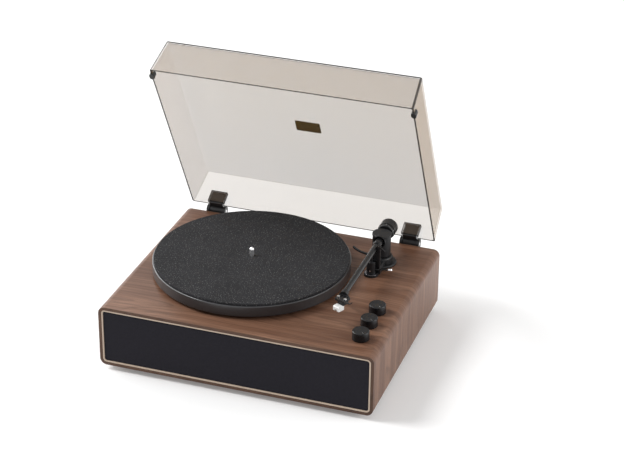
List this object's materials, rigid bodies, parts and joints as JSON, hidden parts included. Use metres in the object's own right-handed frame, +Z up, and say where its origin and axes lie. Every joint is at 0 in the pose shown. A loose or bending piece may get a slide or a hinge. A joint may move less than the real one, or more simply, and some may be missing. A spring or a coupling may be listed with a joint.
{
  "type": "record player",
  "caption": "Table-top record player: wrapped wooden cabinet with a cloth front, belt-driven platter, straight tonearm on a lift, control knobs and a hinged smoked dust cover.",
  "frame": {"origin": "on the table, level with the undersides of the feet, under the middle of the whole player as it stands with its cover open (28.9 mm behind the cabinet's middle)", "axes": "+Z up, -Y towards the front with the cloth grille, +X to the right where the tonearm and knobs are"},
  "size_m": [0.42, 0.3942, 0.4267],
  "materials": {
    "veneer": "satin",
    "board": "matte",
    "cream_trim": "satin",
    "cloth": "woven",
    "black_plastic": "satin",
    "gloss_black": "gloss",
    "black_metal": "satin",
    "platter_alloy": "satin dark coat",
    "mat_rubber": "matte speckled",
    "rubber": "matte",
    "steel": "bright",
    "chrome": "polished",
    "brass": "turned",
    "alloy": "satin",
    "smoked": "clear smoked",
    "paper": "matte pulp",
    "ferrite": "matte",
    "circuit": "satin",
    "pale_plastic": "satin"
  },
  "bodies": {
    "cabinet": {"cabinet_shell": "veneer", "feet": "rubber", "trim_frame": "cream_trim", "grille_frame": "board", "grille_cloth": "cloth", "front_baffle": "board", "speaker_frames": "black_metal", "speaker_magnets": "ferrite", "speaker_cones": "paper", "inner_screws": "steel", "rear_screws": "black_metal", "rear_panel": "board", "rear_battens": "board", "jack_plate": "black_plastic", "rca_jacks": "brass", "small_sockets": "black_plastic", "main_bearing": "brass", "motor": "steel", "motor_plate": "steel", "motor_grommets": "rubber", "drive_belt": "rubber", "rotary_controls": "steel", "panel_nuts": "steel", "hinge_brackets": "black_plastic", "fixed_pins": "steel", "arm_base": "black_plastic", "lift_ring": "chrome", "circuit_board": "circuit", "board_standoffs": "steel"},
    "dust_cover": {"dust_cover": "smoked", "cover_badge": "black_metal", "cover_bumpers": "rubber", "hinge_arms": "black_plastic"},
    "platter": {"platter": "platter_alloy", "platter_mat": "mat_rubber", "platter_hub": "brass", "spindle": "steel"},
    "motor_pulley": {"motor_pulley": "brass"},
    "speed_knob": {"speed_knob": "gloss_black"},
    "source_knob": {"source_knob": "gloss_black"},
    "volume_knob": {"volume_knob": "gloss_black"},
    "lift_bar": {"lift_bar": "black_metal"},
    "cue_lever": {"cue_lever": "black_metal", "cue_lever_tip": "chrome"},
    "rest_latch": {"rest_latch": "black_plastic"},
    "arm_housing": {"arm_housing": "black_plastic", "arm_yaw_pin": "steel", "arm_pivot_screws": "steel"},
    "arm": {"arm_sleeve": "black_metal", "arm_tube": "black_metal", "headshell": "black_plastic", "finger_lift": "steel", "headshell_screws": "steel", "cartridge": "black_plastic", "stylus_block": "pale_plastic", "stylus": "alloy", "arm_stub": "black_metal"},
    "counterweight": {"counterweight": "black_metal"},
    "force_dial": {"force_dial": "black_plastic"}
  },
  "joints": [
    {"name": "cover_hinge", "type": "hinge", "parent": "cabinet", "child": "dust_cover", "pos_m": [0, 0.1476, 0.105], "axis": [1, 0, 0], "range_deg": [0, 62]},
    {"name": "platter_spin", "type": "hinge", "parent": "cabinet", "child": "platter", "pos_m": [-0.039, -0.0169, 0.115], "axis": [0, 0, 1], "continuous": true},
    {"name": "pulley_spin", "type": "hinge", "parent": "cabinet", "child": "motor_pulley", "pos_m": [-0.1248, 0.05509, 0.112], "axis": [0, 0, 1], "continuous": true},
    {"name": "speed_turn", "type": "hinge", "parent": "cabinet", "child": "speed_knob", "pos_m": [0.176, -0.0744, 0.11], "axis": [0, 0, -1], "range_deg": [-40, 40]},
    {"name": "source_turn", "type": "hinge", "parent": "cabinet", "child": "source_knob", "pos_m": [0.176, -0.1139, 0.11], "axis": [0, 0, -1], "range_deg": [-40, 40]},
    {"name": "volume_turn", "type": "hinge", "parent": "cabinet", "child": "volume_knob", "pos_m": [0.176, -0.1534, 0.11], "axis": [0, 0, -1], "range_deg": [-140, 140]},
    {"name": "arm_swing", "type": "hinge", "parent": "cabinet", "child": "arm_housing", "pos_m": [0.136, 0.0731, 0.1455], "axis": [0, 0, -1], "range_deg": [0, 48]},
    {"name": "arm_tilt", "type": "hinge", "parent": "arm_housing", "child": "arm", "pos_m": [0.136, 0.0731, 0.1455], "axis": [-1, 0, 0], "range_deg": [0, 3]},
    {"name": "lift_rise", "type": "slide", "parent": "cabinet", "child": "lift_bar", "axis": [0, 0, 1], "range_m": [0, 0.0023]},
    {"name": "cue_turn", "type": "hinge", "parent": "cabinet", "child": "cue_lever", "pos_m": [0.134, 0.0291, 0.114], "axis": [0, -1, 0], "range_deg": [0, 50]},
    {"name": "latch_turn", "type": "hinge", "parent": "cabinet", "child": "rest_latch", "pos_m": [0.1431, 0.0371, 0.1515], "axis": [0, -1, 0], "range_deg": [0, 216]},
    {"name": "weight_slide", "type": "slide", "parent": "arm", "child": "counterweight", "axis": [0, 1, 0], "range_m": [-0.0025, 0.0025]},
    {"name": "dial_turn", "type": "hinge", "parent": "counterweight", "child": "force_dial", "pos_m": [0.136, 0.0931, 0.1455], "axis": [0, 1, 0], "range_deg": [-360, 360]}
  ],
  "couplings": [
    {"joint": "pulley_spin", "follows": "platter_spin", "ratio": 14.546},
    {"joint": "arm_tilt", "follows": "lift_rise", "rad_per_m": 22.763},
    {"joint": "cue_turn", "follows": "lift_rise", "rad_per_m": 379.38},
    {"joint": "dial_turn", "follows": "weight_slide", "rad_per_m": 2513}
  ]
}
